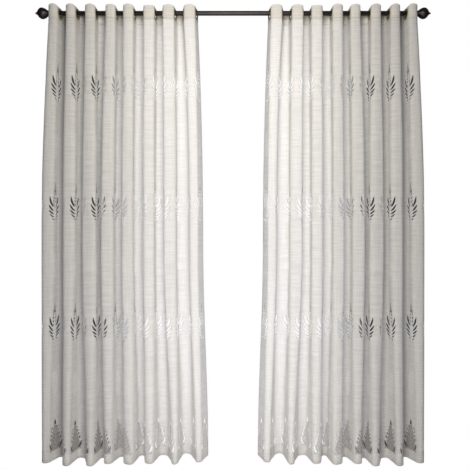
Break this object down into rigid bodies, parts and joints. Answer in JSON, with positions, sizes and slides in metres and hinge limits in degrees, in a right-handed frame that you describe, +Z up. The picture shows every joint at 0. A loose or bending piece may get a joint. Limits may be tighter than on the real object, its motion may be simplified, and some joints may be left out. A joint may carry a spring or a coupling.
{
  "type": "pair of sheer leaf voile curtains on a curtain rod",
  "caption": "Pair of sheer eyelet curtains with open-slit leaf rows, hung drawn apart on a plain round rod with pointed ball finials.",
  "frame": {"origin": "on the rod's axis, midway between its ends", "axes": "+X along the rod, -Y the face of the curtains, +Y their back and the wall side, +Z up"},
  "size_m": [2.1766, 0.1182, 2.5],
  "materials": {
    "voile": "sheer off-white voile with open leaf slits",
    "heading_band": "stiff off-white heading band",
    "aged_brass": "aged satin",
    "dark_bronze": "dark bronze, satin"
  },
  "bodies": {
    "root": {"panel_left": "voile", "panel_right": "voile", "heading_left": "heading_band", "heading_right": "heading_band", "eyelet_left_01": "aged_brass", "eyelet_left_02": "aged_brass", "eyelet_left_03": "aged_brass", "eyelet_left_04": "aged_brass", "eyelet_left_05": "aged_brass", "eyelet_left_06": "aged_brass", "eyelet_left_07": "aged_brass", "eyelet_left_08": "aged_brass", "eyelet_left_09": "aged_brass", "eyelet_left_10": "aged_brass", "eyelet_left_11": "aged_brass", "eyelet_left_12": "aged_brass", "eyelet_left_13": "aged_brass", "eyelet_left_14": "aged_brass", "eyelet_left_15": "aged_brass", "eyelet_left_16": "aged_brass", "eyelet_right_01": "aged_brass", "eyelet_right_02": "aged_brass", "eyelet_right_03": "aged_brass", "eyelet_right_04": "aged_brass", "eyelet_right_05": "aged_brass", "eyelet_right_06": "aged_brass", "eyelet_right_07": "aged_brass", "eyelet_right_08": "aged_brass", "eyelet_right_09": "aged_brass", "eyelet_right_10": "aged_brass", "eyelet_right_11": "aged_brass", "eyelet_right_12": "aged_brass", "eyelet_right_13": "aged_brass", "eyelet_right_14": "aged_brass", "eyelet_right_15": "aged_brass", "eyelet_right_16": "aged_brass", "rod": "dark_bronze", "finial_left": "dark_bronze", "finial_right": "dark_bronze"}
  },
  "joints": []
}
